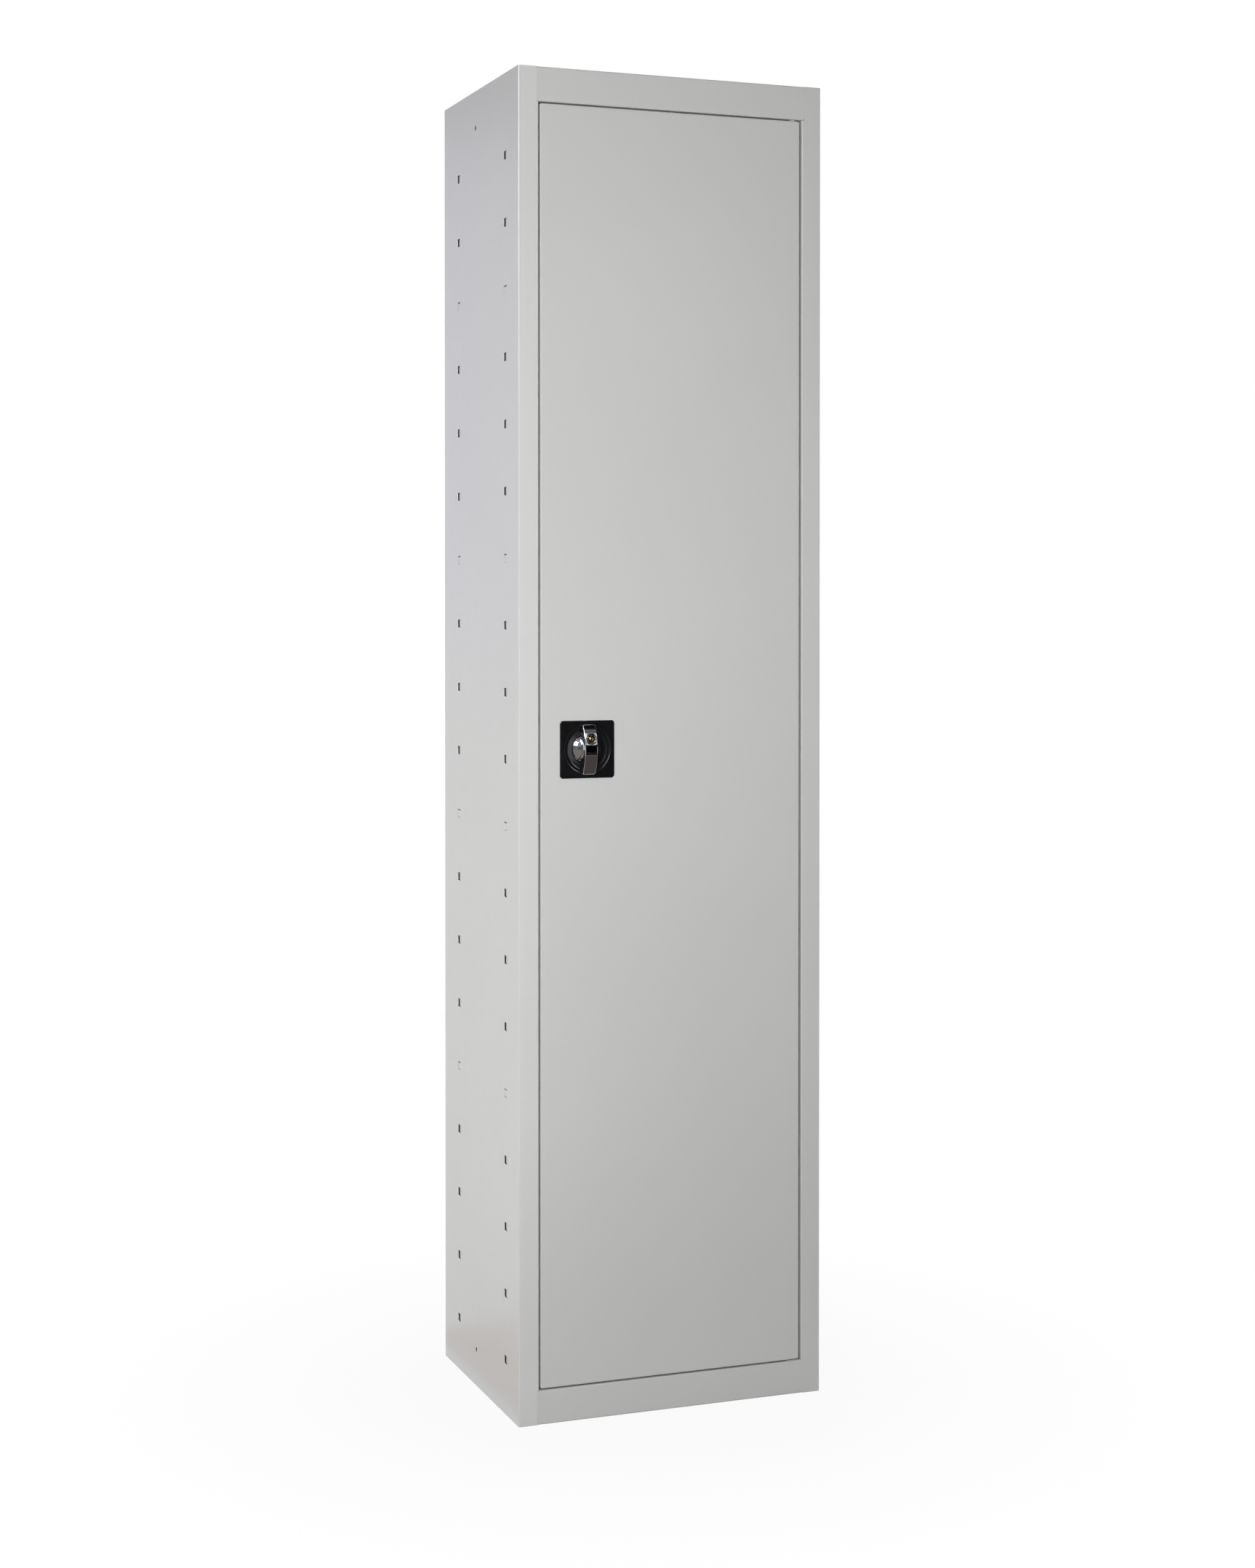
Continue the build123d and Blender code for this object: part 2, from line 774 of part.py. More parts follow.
def lock_rod(way, reach):
    """Rod that runs up (way 1) or down (way -1) from the cam to reach, measured from the lock's axis."""
    fork_end = -pin_place - crank_pin - slot_clear - fork_tail / 2
    with BuildPart() as rod:
        with BuildSketch(lock_plane(rod_y)):
            with Locations((-way * (fork_outer + fork_inner) / 2, way * (arm_high + fork_end) / 2)):
                Rectangle(fork_outer - fork_inner, arm_high - fork_end)
            with Locations((-way * (fork_outer - arm_overlap) / 2, way * (arm_low + arm_high) / 2)):
                Rectangle(fork_outer + arm_overlap, arm_high - arm_low)
            with Locations((-way * crank_radius / 2, -way * pin_place)):
                Rectangle(fork_slot, 2 * (crank_pin + slot_clear), mode=Mode.SUBTRACT)
        extrude(amount=fork_half, both=True)
        with BuildSketch(Plane.XY.offset(lock_z + way * rod_root)):
            with Locations((lock_x, rod_y)):
                Circle(rod_radius)
        extrude(amount=way * (reach - rod_root))
        chamfer(rod.faces().filter_by(Axis.Z).sort_by(Axis.Z)[-1 if way > 0 else 0].edges(), tip_chamfer)
    return rod.part


with BuildPart() as upper_rod:
    add(lock_rod(1, door_high - tip_setback - lock_z))
upper_rod.part.label = "upper_rod"
export_step(upper_rod.part, "parts/upper_rod.step")

with BuildPart() as lower_rod:
    add(lock_rod(-1, lock_z - door_low - tip_setback))
lower_rod.part.label = "lower_rod"
export_step(lower_rod.part, "parts/lower_rod.step")

# Rod guides on the lips of the door, and their rivets
guide_clear = 0.25
guide_wall = 2
guide_back = rod_y + rod_radius + guide_clear + guide_wall
guide_wing = 3


def rod_guide(z):
    """Nylon guide: two wings on the lip and a block round the rod."""
    with BuildPart() as guide:
        with Locations((lock_x, door_back + guide_wing / 2, z)):
            Box(guide_width, guide_wing, guide_height)
        with Locations((lock_x, (door_back + guide_back) / 2, z)):
            Box(2 * (rod_radius + guide_clear + guide_wall), guide_back - door_back, guide_height)
        with Locations((lock_x, rod_y, z)):
            Cylinder(rod_radius + guide_clear, 2 * guide_height, mode=Mode.SUBTRACT)
        with BuildSketch(Plane.XZ.offset(-door_back)):
            with Locations(rivet_points):
                Circle(rivet_hole)
        extrude(amount=-2 * guide_wing, mode=Mode.SUBTRACT)
    return guide.part


with BuildPart() as upper_rod_guide:
    add(rod_guide(guide_levels[0]))
upper_rod_guide.part.label = "upper_rod_guide"
export_step(upper_rod_guide.part, "parts/upper_rod_guide.step")

with BuildPart() as lower_rod_guide:
    add(rod_guide(guide_levels[1]))
lower_rod_guide.part.label = "lower_rod_guide"
export_step(lower_rod_guide.part, "parts/lower_rod_guide.step")

rivet_head = 2.8
rivet_head_height = 1.2
wing_back = door_back + guide_wing

with BuildPart() as guide_rivets:
    with BuildSketch(Plane.XZ.offset(-wing_back)):
        with Locations(rivet_points):
            Circle(rivet_radius)
    extrude(amount=guide_wing + sheet)
    with BuildSketch(Plane.XZ.offset(-wing_back)):
        with Locations(rivet_points):
            Circle(rivet_head)
    extrude(amount=-rivet_head_height)
    with BuildSketch(Plane.XZ.offset(-(door_back - sheet))):
        with Locations(rivet_points):
            Circle(rivet_head)
    extrude(amount=rivet_head_height)
guide_rivets.part.label = "guide_rivets"
export_step(guide_rivets.part, "parts/guide_rivets.step")
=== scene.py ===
# %% [markdown]
# # A steel locker cabinet with a turning grip
#
# The cabinet is a folded steel carcass with one tall door. Its measured parts come in as a fixed frame:
# nothing of that frame is moved here. This lesson gives each part its finish, models the pieces of the
# lock that the eye goes to, and sets up a plain studio around the cabinet.

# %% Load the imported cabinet
from math import asin, radians, sqrt

import bmesh
import bpy
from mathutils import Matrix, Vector


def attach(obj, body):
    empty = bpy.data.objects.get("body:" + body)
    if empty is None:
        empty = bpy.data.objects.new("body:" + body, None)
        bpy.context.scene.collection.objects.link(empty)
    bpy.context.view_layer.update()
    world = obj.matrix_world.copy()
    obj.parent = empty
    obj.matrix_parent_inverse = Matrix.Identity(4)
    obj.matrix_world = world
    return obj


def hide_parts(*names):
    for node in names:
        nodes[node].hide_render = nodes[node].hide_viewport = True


mm = 0.001
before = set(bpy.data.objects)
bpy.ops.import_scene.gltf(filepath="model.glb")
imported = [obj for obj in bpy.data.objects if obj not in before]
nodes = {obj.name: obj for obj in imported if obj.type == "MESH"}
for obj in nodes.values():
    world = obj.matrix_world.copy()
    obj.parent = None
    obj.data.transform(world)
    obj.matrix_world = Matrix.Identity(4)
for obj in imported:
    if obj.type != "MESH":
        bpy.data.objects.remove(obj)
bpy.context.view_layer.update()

# %% [markdown]
# ## Small tools for making finishes
#
# Every finish here is a Principled shader fed by a few texture nodes. Pictures could be wrapped round the
# parts instead, but a pattern made by nodes has no seams and stays sharp close up. The textures read
# Object coordinates, because each part sits at the origin with its place in its mesh, so one metre in the
# pattern is one metre on the cabinet. Short helpers keep the finishes readable: they start a material,
# make a noise, squeeze it along an axis, spread it over a range of values, turn it into a colour, and
# raise the surface by it. Most of a noise lies between 0.3 and 0.7, so that is the part of it that is
# used.

# %% Finish helpers
noise_low = 0.3
noise_high = 0.7


def start_finish(name):
    """A new material, its node tree, its shader and its Object coordinates."""
    finish = bpy.data.materials.new(name)
    finish.use_nodes = True
    tree = finish.node_tree
    shader = tree.nodes["Principled BSDF"]
    place = tree.nodes.new("ShaderNodeTexCoord")
    return finish, tree, shader, place.outputs["Object"]


def noise(tree, vector, scale, detail=3.0):
    """A noise pattern of that scale, in cycles a metre."""
    node = tree.nodes.new("ShaderNodeTexNoise")
    node.inputs["Scale"].default_value = scale
    node.inputs["Detail"].default_value = detail
    tree.links.new(vector, node.inputs["Vector"])
    return node.outputs["Fac"]


def squeezed(tree, vector, scale):
    """The same coordinates, stretched or squeezed along each axis."""
    node = tree.nodes.new("ShaderNodeMapping")
    node.inputs["Scale"].default_value = scale
    tree.links.new(vector, node.inputs["Vector"])
    return node.outputs["Vector"]


def spread(tree, value, low, high, start=noise_low, end=noise_high):
    """Maps a pattern onto the range from low to high."""
    node = tree.nodes.new("ShaderNodeMapRange")
    node.inputs["From Min"].default_value = start
    node.inputs["From Max"].default_value = end
    node.inputs["To Min"].default_value = low
    node.inputs["To Max"].default_value = high
    tree.links.new(value, node.inputs["Value"])
    return node.outputs["Result"]


def tint(tree, value, dark, light):
    """A colour between dark and light, chosen by a pattern."""
    node = tree.nodes.new("ShaderNodeValToRGB")
    first, last = node.color_ramp.elements
    first.position = noise_low
    first.color = (*dark, 1)
    last.position = noise_high
    last.color = (*light, 1)
    tree.links.new(value, node.inputs["Fac"])
    return node.outputs["Color"]


def relief(tree, shader, value, depth):
    """Raises the surface by a pattern, depth in metres."""
    node = tree.nodes.new("ShaderNodeBump")
    node.inputs["Distance"].default_value = depth
    tree.links.new(value, node.inputs["Height"])
    tree.links.new(node.outputs["Normal"], shader.inputs["Normal"])


print("finish helpers ready")

# %% [markdown]
# ## Powder coat
#
# The panels carry a baked powder coat: a warm light grey with a soft sheen. Close up it has the fine
# dimples of sprayed powder that has flowed, and over the whole panel its tone drifts a little. One flat
# grey would look like plastic sheet, so three noises are used: a slow one for the tone, a quicker one for
# the sheen, and a fast one, two millimetres across, for the dimples. The left side panel is smoother than
# the door, so that the room shows in it as soft bands, and its grey is painted a touch lighter: painted
# light that stands in for the brighter light falling on its front stile beside the door. The clips are
# lighter again.

# %% Make the powder coat
tone_drift = 2.2
sheen_drift = 60
flow_dimples = 520


def powder_coat(name, dark, light, low=0.36, high=0.46, dimple=0.06 * mm):
    """A satin powder coat between two close greys, with its roughness from low to high."""
    finish, tree, shader, place = start_finish(name)
    tree.links.new(tint(tree, noise(tree, place, tone_drift), dark, light), shader.inputs["Base Color"])
    tree.links.new(spread(tree, noise(tree, place, sheen_drift), low, high), shader.inputs["Roughness"])
    relief(tree, shader, noise(tree, place, flow_dimples, detail=2.0), dimple)
    return finish


panel_grey = powder_coat("panel_grey", dark=(0.565, 0.567, 0.560), light=(0.590, 0.591, 0.583))
# painted light: this grey is set lighter than the door's to stand in for the brighter light on the left
# stile
side_grey_painted_lighter = powder_coat(
    "side_grey_painted_lighter", dark=(0.620, 0.621, 0.615), light=(0.643, 0.643, 0.637),
    low=0.28, high=0.34, dimple=0.02 * mm,
)
clip_grey = powder_coat("clip_grey", dark=(0.635, 0.637, 0.632), light=(0.665, 0.666, 0.660))
print("powder coats:", panel_grey.name, side_grey_painted_lighter.name, clip_grey.name)

# %% [markdown]
# ## Bare metals
#
# Three metals show as they are. The rods are drawn through a die, so their marks run lengthwise: the
# noise is squeezed along the height. Chrome is nearly a mirror with a trace of haze, and the brass plug has
# fine turning marks. Each could have its own set of nodes, but they differ only in numbers, so one function
# makes all three.

# %% Make drawn steel, chrome and brass


def plated(name, dark, light, low, high, scale, squeeze=(1, 1, 1), depth=0.02 * mm):
    """A metal whose tone and gloss follow one fine pattern."""
    finish, tree, shader, place = start_finish(name)
    shader.inputs["Metallic"].default_value = 1.0
    grain = noise(tree, squeezed(tree, place, squeeze), scale)
    tree.links.new(tint(tree, grain, dark, light), shader.inputs["Base Color"])
    tree.links.new(spread(tree, grain, low, high), shader.inputs["Roughness"])
    relief(tree, shader, grain, depth)
    return finish


drawn_steel = plated(
    "drawn_steel", dark=(0.42, 0.43, 0.45), light=(0.52, 0.53, 0.55),
    low=0.24, high=0.36, scale=1400, squeeze=(1, 1, 0.02),
)
grip_chrome = plated(
    "grip_chrome", dark=(0.76, 0.77, 0.78), light=(0.80, 0.80, 0.81),
    low=0.035, high=0.07, scale=140, depth=0.001 * mm,
)
plug_brass = plated(
    "plug_brass", dark=(0.52, 0.41, 0.24), light=(0.66, 0.55, 0.36),
    low=0.05, high=0.09, scale=2500, squeeze=(1, 0.05, 1), depth=0.003 * mm,
)
print("metals:", drawn_steel.name, grip_chrome.name, plug_brass.name)

# %% [markdown]
# ## Zinc plate
#
# The pivots, the screws and the lock work inside the door are zinc plated. Zinc shows a faint patchwork of
# crystals. A noise would blur them together, so a Voronoi pattern is used: its cells have borders, and each
# cell has a colour of its own. One channel of that colour sets the tone and another one the gloss.

# %% Make bright zinc
crystal_scale = 260
plating_grain = 900


def zinc_crystals(name, dark, light, low, high, depth):
    """Bright zinc, each crystal with its own tone and gloss."""
    finish, tree, shader, place = start_finish(name)
    shader.inputs["Metallic"].default_value = 1.0
    crystals = tree.nodes.new("ShaderNodeTexVoronoi")
    crystals.inputs["Scale"].default_value = crystal_scale
    tree.links.new(place, crystals.inputs["Vector"])
    patch = tree.nodes.new("ShaderNodeSeparateColor")
    tree.links.new(crystals.outputs["Color"], patch.inputs["Color"])
    tree.links.new(tint(tree, patch.outputs["Red"], dark, light), shader.inputs["Base Color"])
    tree.links.new(spread(tree, patch.outputs["Green"], low, high), shader.inputs["Roughness"])
    relief(tree, shader, noise(tree, place, plating_grain), depth)
    return finish


bright_zinc = zinc_crystals(
    "bright_zinc", dark=(0.42, 0.43, 0.45), light=(0.54, 0.55, 0.57), low=0.26, high=0.40, depth=0.02 * mm
)
print("plating:", bright_zinc.name)

# %% [markdown]
# ## Mouldings
#
# The lock plate is a black moulding with a satin skin, and the pivot bushes and rod guides are white
# nylon. Moulded plastic has a very fine spark-eroded texture from its tool, and a slow unevenness in
# gloss where hands have touched it. The texture is too fine to model, so it comes from noise, as fine
# bumps, and so does the change in roughness. A black moulding of this kind reflects a little less than
# clear plastic does, so its specular level is lowered from the usual 0.5.

# %% Make the black moulding and the nylon
tone_patches = 30
touch_patches = 90
tool_texture = 2600


def moulding(name, dark, light, low, high, depth, shine=0.5):
    """A moulded plastic with a fine tool texture."""
    finish, tree, shader, place = start_finish(name)
    tree.links.new(tint(tree, noise(tree, place, tone_patches), dark, light), shader.inputs["Base Color"])
    tree.links.new(spread(tree, noise(tree, place, touch_patches), low, high), shader.inputs["Roughness"])
    shader.inputs["Specular IOR Level"].default_value = shine
    relief(tree, shader, noise(tree, place, tool_texture, detail=2.0), depth)
    return finish


lock_black = moulding(
    "lock_black", dark=(0.0035, 0.0035, 0.0042), light=(0.006, 0.006, 0.0068),
    low=0.17, high=0.24, depth=0.004 * mm, shine=0.34,
)
bush_nylon = moulding(
    "bush_nylon", dark=(0.80, 0.80, 0.79), light=(0.86, 0.86, 0.85), low=0.38, high=0.48, depth=0.02 * mm
)
print("mouldings:", lock_black.name, bush_nylon.name)

# %% [markdown]
# ## Dress the cabinet's own parts
#
# A locker is mostly painted sheet, with a few plated, drawn and moulded parts in the lock and the hinges.
# So every part gets the panels' coat first, which is shorter than a list of all the sheets. Two tables
# then say which parts have another finish: one turns a slot into its finish, the other one lists the
# parts of each slot. The left side panel gets the copy of the coat whose grey is painted lighter, as
# painted light.

# %% Give every part its finish
finish_of_slot = {
    "powder_coat": panel_grey,
    "clip_paint": clip_grey,
    "zinc_plate": bright_zinc,
    "rod_steel": drawn_steel,
    "white_nylon": bush_nylon,
    "black_lock": lock_black,
    "chrome": grip_chrome,
    "brass": plug_brass,
}
parts_of_slot = {
    "clip_paint": [name for name in nodes if name.startswith("shelf_clips")],
    "zinc_plate": [
        "upper_pivot", "lower_pivot", "lock_clamp", "lock_screws", "guide_rivets", "spindle",
        "retaining_washer", "latch_tongue", "drive_cam", "end_nut",
    ],
    "rod_steel": ["upper_rod", "lower_rod"],
    "white_nylon": ["upper_bush", "lower_bush", "upper_rod_guide", "lower_rod_guide"],
    "black_lock": ["lock_plate"],
    "chrome": ["turning_grip", "key_cylinder"],
    "brass": ["key_plug"],
}


def coat(piece, finish):
    """Gives a piece one finish all over."""
    piece.data.materials.clear()
    piece.data.materials.append(finish)


for node in nodes.values():
    coat(node, panel_grey)
for slot, names in parts_of_slot.items():
    for name in names:
        coat(nodes[name], finish_of_slot[slot])
    print(slot, "on parts:", len(names))
# painted light: the left side panel's lighter grey stands in for the brighter light falling on its stile
coat(nodes["left_side_panel"], side_grey_painted_lighter)

# %% [markdown]
# ## A bench for the lock
#
# The lock's front pieces are modelled lying on their backs at the origin, as on a bench: x to the right,
# y up the door, z out of the door. They could be modelled in place, but round forms are easier to pull,
# spin and cut about the origin. When a piece is done, it is stood up against the door in one turn and one
# move, and its place is applied to its mesh. Lengths are written in millimetres, and mm turns them into
# metres.

# %% Bench helpers: pick, open and select


def clear_bench():
    """Leaves edit mode and deselects everything."""
    if bpy.context.mode != "OBJECT":
        bpy.ops.object.mode_set(mode="OBJECT")
    bpy.ops.object.select_all(action="DESELECT")


def pick(piece, *others):
    """Selects only these pieces and makes the first one active."""
    clear_bench()
    for each in (piece, *others):
        each.select_set(True)
    bpy.context.view_layer.objects.active = piece


def open_mesh(kind):
    """Applies the active piece's place, opens its mesh with all of it selected, and returns the piece."""
    bpy.ops.object.transform_apply(location=True, rotation=True, scale=True)
    bpy.ops.object.mode_set(mode="EDIT")
    bpy.ops.mesh.select_mode(type=kind)
    bpy.ops.mesh.select_all(action="SELECT")
    return bpy.context.active_object


def choose(kind, test):
    """Selects, in edit mode, the faces, edges or vertices that pass the test."""
    bpy.ops.mesh.select_mode(type=kind)
    bpy.ops.mesh.select_all(action="DESELECT")
    mesh = bmesh.from_edit_mesh(bpy.context.edit_object.data)
    for element in {"FACE": mesh.faces, "EDGE": mesh.edges, "VERT": mesh.verts}[kind]:
        if test(element):
            element.select_set(True)
    mesh.select_flush_mode()
    bmesh.update_edit_mesh(bpy.context.edit_object.data)


def middle(edge):
    """The point halfway along an edge."""
    return (edge.verts[0].co + edge.verts[1].co) / 2


print("the bench has its selecting tools")

# %% Bench helpers: pull, cut and stand up
lock_x = -126.5 * mm
lock_z = 921.5 * mm
door_face = -175 * mm
merge_within = 0.002 * mm
smooth_below = 35


def pull_rings(radius, height, rings):
    """Extrudes the selected ring through a list of radii and heights, in millimetres."""
    for next_radius, next_height in rings:
        rise = (next_height - height) * mm
        bpy.ops.mesh.extrude_region_move(TRANSFORM_OT_translate={"value": (0, 0, rise)})
        size = next_radius / radius
        bpy.ops.transform.resize(value=(size, size, 1), center_override=(0, 0, next_height * mm))
        radius, height = next_radius, next_height


def cut_away(piece, cutter, label):
    """Cuts the cutter's shape out of a piece and clears the cutter away."""
    pick(piece)
    cut = piece.modifiers.new(label, "BOOLEAN")
    cut.operation = "DIFFERENCE"
    cut.solver = "EXACT"
    cut.object = cutter
    bpy.ops.object.modifier_apply(modifier=cut.name)
    bpy.data.objects.remove(cutter)


def hand_over(piece, name, slot, body):
    """Names a finished piece, gives it the finish of its slot, and lets it ride on its body."""
    piece.name = name
    piece.data.name = name
    coat(piece, finish_of_slot[slot])
    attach(piece, body)
    print(name, "faces:", len(piece.data.polygons))


def stand_up(piece, name, slot, body, node, angle=smooth_below):
    """Closes a bench piece's mesh, stands it against the door and lets it replace its plain node."""
    pick(piece)
    open_mesh("VERT")
    bpy.ops.mesh.remove_doubles(threshold=merge_within)
    bpy.ops.mesh.normals_make_consistent(inside=False)
    bpy.ops.object.mode_set(mode="OBJECT")
    piece.rotation_euler = (radians(90), 0, 0)
    piece.location = (lock_x, door_face, lock_z)
    bpy.ops.object.transform_apply(location=True, rotation=True, scale=True)
    bpy.ops.object.shade_smooth_by_angle(angle=radians(angle))
    weighted = piece.modifiers.new("even_shading", "WEIGHTED_NORMAL")
    weighted.keep_sharp = True
    bpy.ops.object.modifier_apply(modifier=weighted.name)
    hand_over(piece, name, slot, body)
    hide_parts(node)


print("bench pieces go to", lock_x, door_face, lock_z)

# %% [markdown]
# ## Lock plate
#
# The black plate is square with rounded corners, and has a round recess in two steps whose walls catch
# the light as thin arcs. The recess could be cut from a block, but then its roundings would need bevels
# on cut edges. Pulled rings give each rounding its own rows of faces, so a circle is pulled inwards ring
# by ring down the two steps to the dish floor. The square rim starts as a plane with bevelled corners,
# pulled outwards over a small rounding and down to the door. Bridging the two loops closes the flat face
# between them. The lists hold a radius and a height for each ring.

# %% Model the lock plate
plate_half = 39.5
plate_proud = 2.0
flat_half = 38.7
corner_cut = 4.3
corner_steps = 10
recess_mouth = 34.1
recess_steps = 160
near = 0.01 * mm
plate_rim = [(39.0, 1.93), (39.27, 1.77), (39.43, 1.5), (plate_half, 1.2), (plate_half, 0.0)]
recess = [
    (33.66, 1.94), (33.25, 1.77), (32.9, 1.5), (32.63, 1.15), (32.46, 0.74), (32.4, 0.3), (32.4, -0.1),
    (32.3, -0.32), (32.1, -0.4), (29.0, -0.4), (28.61, -0.45), (28.25, -0.6), (27.94, -0.84), (27.7, -1.15),
    (27.55, -1.51), (27.5, -1.9), (27.5, -4.1), (27.3, -4.5), (26.9, -4.6), (24.2, -4.05), (20.9, -3.5),
    (20.6, -3.6), (20.5, -4.0), (20.5, -8.0),
]
plate_level = (0, 0, plate_proud * mm)
clear_bench()
bpy.ops.mesh.primitive_plane_add(size=2 * flat_half * mm, location=plate_level)
lock_face = open_mesh("VERT")
bpy.ops.mesh.bevel(affect="VERTICES", offset=corner_cut * mm, segments=corner_steps)
bpy.ops.mesh.delete(type="ONLY_FACE")
bpy.ops.mesh.select_mode(type="EDGE")
bpy.ops.mesh.select_all(action="SELECT")
pull_rings(flat_half, plate_proud, plate_rim)
bpy.ops.mesh.select_all(action="DESELECT")
bpy.ops.mesh.primitive_circle_add(vertices=recess_steps, radius=recess_mouth * mm, location=plate_level)
pull_rings(recess_mouth, plate_proud, recess)
choose("EDGE", lambda edge: edge.is_boundary and abs(middle(edge).z - plate_proud * mm) < near)
bpy.ops.mesh.bridge_edge_loops()
stand_up(lock_face, "lock_face", "black_lock", "door", "lock_plate")

# %% [markdown]
# ## Turning grip: the bar
#
# The grip is one chrome casting: a low dome that turns in the dish, and a solid bar across it whose front
# is a flat arch. A bent block would do for the bar, but chrome shows every dent in an arch, and a spun
# one is exact. So the arch is an edge as wide as the bar, spun about a far axis.

# %% Spin the arch of the bar
bar_half = 9.0
bar_reach = 34.0
arch_top = 19.0
arch_end = 8.0
arch_steps = 22
arch_radius = (bar_reach**2 + (arch_top - arch_end) ** 2) / (2 * (arch_top - arch_end))
arch_centre = arch_top - arch_radius
arch_angle = asin(bar_reach / arch_radius)

clear_bench()
plane_middle = (0, (bar_half - bar_reach) * mm, arch_end * mm)
bpy.ops.mesh.primitive_plane_add(size=2 * bar_half * mm, location=plane_middle)
grip = open_mesh("VERT")
# Only the plane's lower edge stays: it is the edge that is spun.
choose("VERT", lambda vert: vert.co.y > -bar_reach * mm + mm)
bpy.ops.mesh.delete(type="VERT")
bpy.ops.mesh.select_all(action="SELECT")
bpy.ops.mesh.spin(steps=arch_steps, angle=2 * arch_angle, center=(0, 0, arch_centre * mm), axis=(1, 0, 0))
arch_heights = [vert.co.z for vert in bmesh.from_edit_mesh(grip.data).verts]
print("arch from", min(arch_heights), "to", max(arch_heights))

# %% [markdown]
# ## Turning grip: the back of the bar
#
# The bar has flat flanks and a flat back, and its middle stands on the dome. Solidify would give the arch a
# thickness, but with a curved back. So the border of the arch is pulled back and flattened, and the back is
# filled with one face. Two cuts mark off the middle of that face, which is then pulled down to the dome.

# %% Pull the back of the bar
foot_reach = 25.0
bar_back = 2.6
foot_back = -3.0


def on_back(face):
    """True for a face in the flat back of the bar."""
    return abs(face.calc_center_median().z - bar_back * mm) < near


def on_foot(face):
    """True for the middle of the back, which goes down to the dome."""
    return on_back(face) and abs(face.calc_center_median().y) < foot_reach * mm


choose("EDGE", lambda edge: edge.is_boundary)
bpy.ops.mesh.extrude_region_move(TRANSFORM_OT_translate={"value": (0, 0, 0)})
bpy.ops.transform.resize(value=(1, 1, 0), center_override=(0, 0, bar_back * mm))
bpy.ops.mesh.edge_face_add()
bpy.ops.mesh.bisect(plane_co=(0, foot_reach * mm, 0), plane_no=(0, 1, 0))
choose("FACE", on_back)
bpy.ops.mesh.bisect(plane_co=(0, -foot_reach * mm, 0), plane_no=(0, 1, 0))
choose("FACE", on_foot)
bpy.ops.mesh.extrude_region_move(TRANSFORM_OT_translate={"value": (0, 0, (foot_back - bar_back) * mm)})
print("the bar goes back to", foot_back, "mm")

# %% [markdown]
# ## Turning grip: rounded edges
#
# No cast edge is sharp, and in chrome each rounding shows as a bright line. A bevel on every edge would
# spend faces where nobody looks, so only two kinds are rounded: the four upright corners at the ends of the
# bar, and the border of the arched front. The first are found by their place, the second by how sharply
# their two faces meet.

# %% Round the corners and the front border of the bar
end_rounding = 2.4
end_steps = 8
border_rounding = 0.65
border_steps = 5
border_margin = 0.2
sharp_above = 40


def on_end_corner(edge):
    """True for the upright corners at the two ends of the bar."""
    spot = middle(edge)
    at_end = abs(abs(spot.y) - bar_reach * mm) < near
    at_flank = abs(abs(spot.x) - bar_half * mm) < near
    return at_end and at_flank and spot.z < arch_end * mm


def on_arch(edge):
    """True for the sharp border of the arched front."""
    sides = [face.normal for face in edge.link_faces]
    in_front = middle(edge).z > (arch_end - border_margin) * mm
    return len(sides) == 2 and in_front and sides[0].angle(sides[1]) > radians(sharp_above)


choose("EDGE", on_end_corner)
bpy.ops.mesh.bevel(offset=end_rounding * mm, segments=end_steps, affect="EDGES")
choose("EDGE", on_arch)
bpy.ops.mesh.bevel(offset=border_rounding * mm, segments=border_steps, affect="EDGES")
clear_bench()
print("bar faces:", len(grip.data.polygons))

# %% [markdown]
# ## Turning grip: the bore
#
# The key cylinder sits in a round hole near the upper end of the bar. Drawing a round hole into a curved
# face with loops of faces is slow work, so a cylinder is subtracted from the bar. It is a hair wider than
# the key cylinder, so that the two walls don't lie in each other.

# %% Bore the bar for the key cylinder
key_up = 15.3
barrel = 8.2
bore_play = 0.12
bore_floor = 1.2
bore_depth = 30
bore_steps = 128
clear_bench()
bpy.ops.mesh.primitive_cylinder_add(
    vertices=bore_steps,
    radius=(barrel + bore_play) * mm,
    depth=bore_depth * mm,
    location=(0, key_up * mm, (bore_floor + bore_depth / 2) * mm),
)
cut_away(grip, bpy.context.active_object, "key_bore")
print("bored bar faces:", len(grip.data.polygons))

# %% [markdown]
# ## Turning grip: the dome
#
# The hub of the grip is a shallow dome that fills the dish. It could be pulled from a circle in rings,
# but the top of a sphere is truly round, and that shows in chrome. A plane cuts it off at its rim, and a
# short skirt goes down into the dish. The dome and the bar are one casting, so they are joined into one
# piece.

# %% Model the dome of the grip
dome_radius = 27.0
dome_steps = 128
dome_rings = 96
hub_radius = 20.2
hub_rim = -4.2
hub_skirt = [(hub_radius, -4.6), (hub_radius, -7.9)]
dome_centre = hub_rim - sqrt(dome_radius**2 - hub_radius**2)
grip_smooth_below = 30
clear_bench()
bpy.ops.mesh.primitive_uv_sphere_add(
    segments=dome_steps, ring_count=dome_rings, radius=dome_radius * mm, location=(0, 0, dome_centre * mm)
)
dome = open_mesh("EDGE")
bpy.ops.mesh.bisect(plane_co=(0, 0, hub_rim * mm), plane_no=(0, 0, 1), clear_inner=True)
choose("EDGE", lambda edge: edge.is_boundary)
pull_rings(hub_radius, hub_rim, hub_skirt)
pick(grip, dome)
bpy.ops.object.join()
stand_up(grip, "grip_casting", "chrome", "handle", "turning_grip", angle=grip_smooth_below)

# %% [markdown]
# ## Key cylinder
#
# The key goes into a round cylinder near the upper end of the bar. What shows of it is a chrome rim with
# a rounded edge and a small step inside. A turned part like this is a profile swept round an axis, so it
# is pulled from a circle ring by ring, as the plate's recess was.

